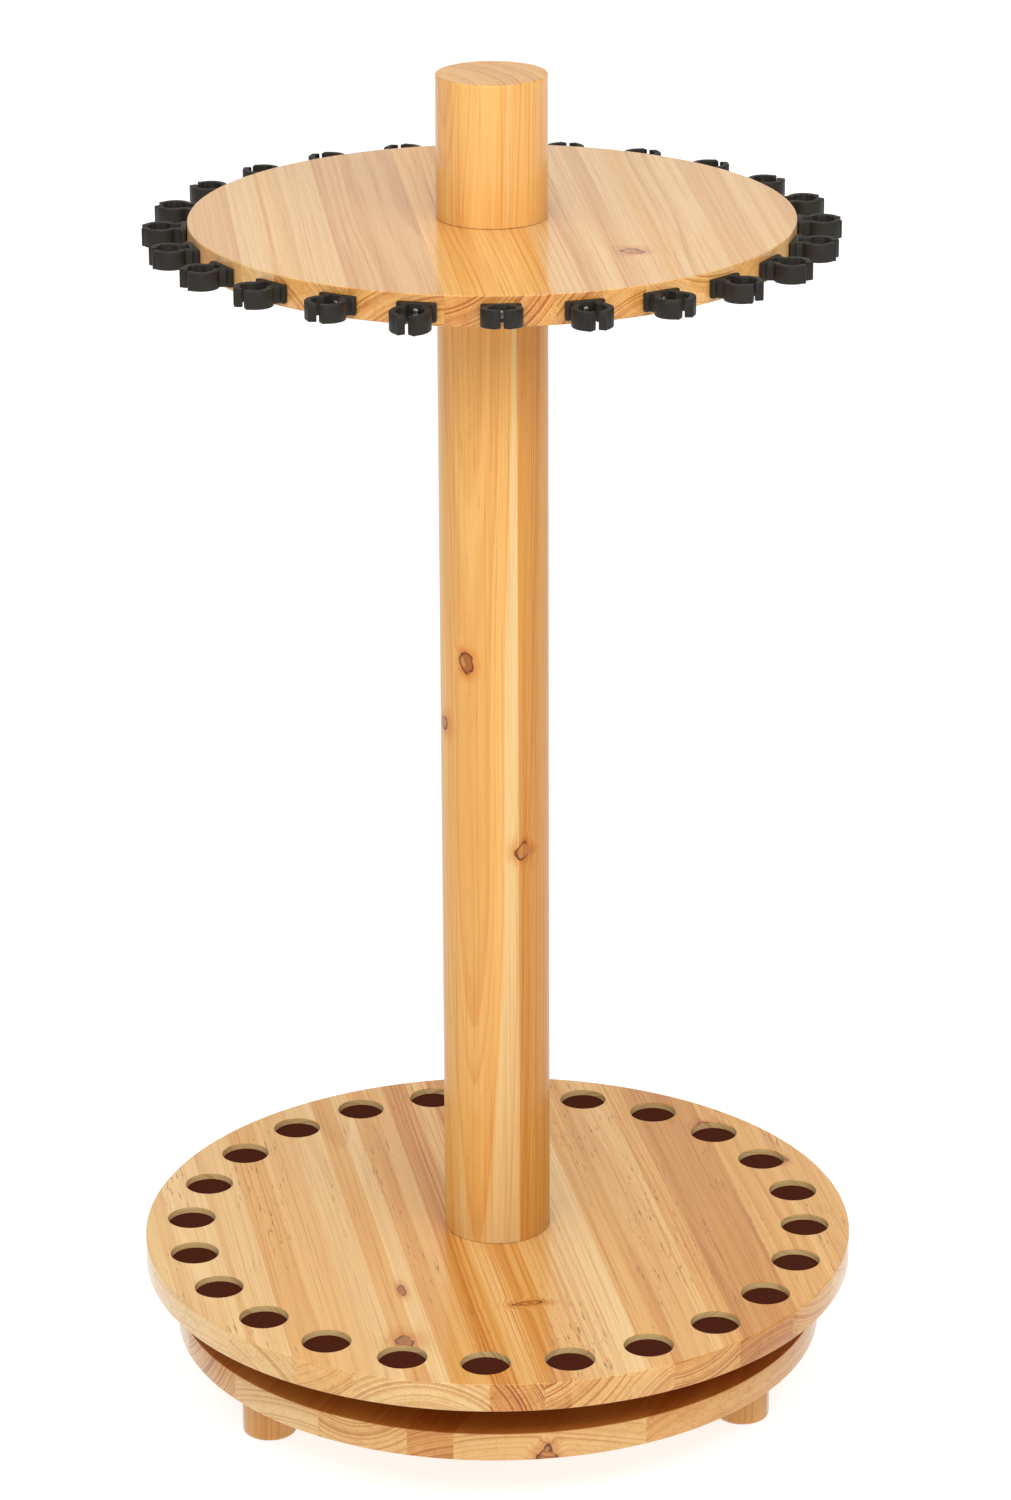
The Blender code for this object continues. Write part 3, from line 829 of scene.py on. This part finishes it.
def moulded_plastic(name):
    """Soft black plastic: satin, with the fine spark-eroded texture of its mould."""
    material, wire, shader = fresh_material(name)
    corner = wire.node("TexCoord", output=3)
    pits = corner.noise(2600.0, detail=2.0)
    bloom = corner.noise(60.0, detail=3.0)
    colour = wire.mix(bloom, (0.0105, 0.008, 0.0055, 1), (0.020, 0.016, 0.011, 1))
    bump = wire.node("Bump", {}, {"Strength": 0.25, "Distance": 0.1 * MM, "Height": pits})
    connect(shader, Base_Color=colour, Roughness=0.45 + bloom * 0.15, Normal=bump)
    shader.inputs["Specular IOR Level"].default_value = 0.28
    return material


black_plastic = moulded_plastic("black_plastic")


def clip_outline(reach):
    """Half of the clip's outline in millimetres, as (sideways, outwards) from the middle of the flange to
    the tip of the right jaw and back along its ribbed inside."""
    half_flange, flange, ease, neck = 11.4, 3.4, 0.6, 8.8
    jaw_side, jaw_out, wall, rib_height = 12.0, 10.8, 3.8, 0.45
    jaw_end, lobe_side, lobe_tip, lobe_back, mouth_depth, tip = 5.6, 5.0, 4.4, 0.15, 2.4, 1.6
    centre = reach - jaw_out
    outside, inside = [], []
    for i in range(25):
        turn = math.radians(-52 + (90 + 52) * i / 24)
        x, y = jaw_side * math.cos(turn), centre + jaw_out * math.sin(turn)
        if x > jaw_end:
            outside.append((x, y))
    outside += [(lobe_side, reach - lobe_back), (lobe_tip, reach - lobe_back)]
    outside.append((tip / 2, reach - mouth_depth))
    for i in range(41):
        turn = math.radians(90 - 148 * i / 40)
        ribbed = 12 < i < 34
        rib = rib_height * max(0.0, math.cos((math.radians(90) - turn) * 7.5)) if ribbed else 0.0
        x = (jaw_side - wall - rib) * math.cos(turn)
        y = centre + (jaw_out - wall - rib) * math.sin(turn)
        if x > tip / 2 + 0.3 and y > flange + 0.3:
            inside.append((x, y))
    floor_y = flange + 0.2
    flank = [(0.0, 0.0), (half_flange - ease, 0.0), (half_flange, ease), (half_flange, flange - ease)]
    flank += [(half_flange - ease, flange), (neck, floor_y)]
    throat = [(inside[-1][0] - 0.5, floor_y), (0.0, floor_y)]
    return flank + outside + inside + throat


def clip_mesh(bm, turn, bottom, top, tilt):
    """The clip, facing turn from the X axis. Its jaws slope up by tilt degrees."""
    half = clip_outline(clip_reach)
    whole = half + [(-x, y) for x, y in half[-2:0:-1]]
    foot = top_radius + gap
    out = Vector((math.cos(turn), math.sin(turn), 0))
    left = Vector((-math.sin(turn), math.cos(turn), 0))
    floor_points = [out * (foot + y * MM) + left * (x * MM) for x, y in whole]
    loop = [bm.verts.new(p + Vector((0, 0, bottom))) for p in floor_points]
    face = bm.faces.new(loop)
    grown = bmesh.ops.extrude_face_region(bm, geom=[face])
    risen = [v for v in grown["geom"] if isinstance(v, bmesh.types.BMVert)]
    bmesh.ops.translate(bm, vec=(0, 0, top - bottom), verts=risen)
    rims = [e for e in bm.edges if abs(e.verts[0].co.z - e.verts[1].co.z) < 1e-6]
    bmesh.ops.recalc_face_normals(bm, faces=bm.faces)
    bmesh.ops.bevel(bm, geom=rims, offset=0.5 * MM, segments=3, profile=0.5, affect="EDGES")
    for v in bm.verts:
        v.co.z += (v.co.dot(out) - foot) * math.tan(math.radians(tilt))


clip_reach = 26.5
clip_low, clip_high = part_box("rod_clip_03")
clip_turns = [math.radians(271.6 + 360 / stations * i) for i in range(stations)]
clip_tilts = {0: 6.0, 1: -2.0, 23: -5.0}
for i, turn in enumerate(clip_turns):
    bm = bmesh.new()
    clip_mesh(bm, turn, clip_low.z, clip_high.z, clip_tilts.get(i, 0.0))
    clip = add_piece(f"sprung_clip_{i + 1:02d}", bm, black_plastic, smooth=38)
    stand_in(clip, "turntable", "black_plastic", f"rod_clip_{i + 1:02d}")

# ---- Clip screws -----------------------------------------------------------------------------
# A steel screw with a pan head, coloured dark grey, goes through each clip's flange, from between its
# jaws, into the edge of the upper disc.
dull_steel = plated_steel("dull_steel", (0.10, 0.10, 0.095), (0.17, 0.165, 0.155))
flange_face = top_radius + gap + 3.7 * MM
for i, turn in enumerate(clip_turns):
    out = Vector((math.cos(turn), math.sin(turn), 0))
    side = Vector((-math.sin(turn), math.cos(turn), 0))
    seat = out * flange_face + upright * ((clip_low.z + clip_high.z) / 2)
    bm = bmesh.new()
    screw_mesh(bm, seat, out, side)
    screw = add_piece(f"clip_screw_{i + 1:02d}", bm, dull_steel)
    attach(screw, "turntable")
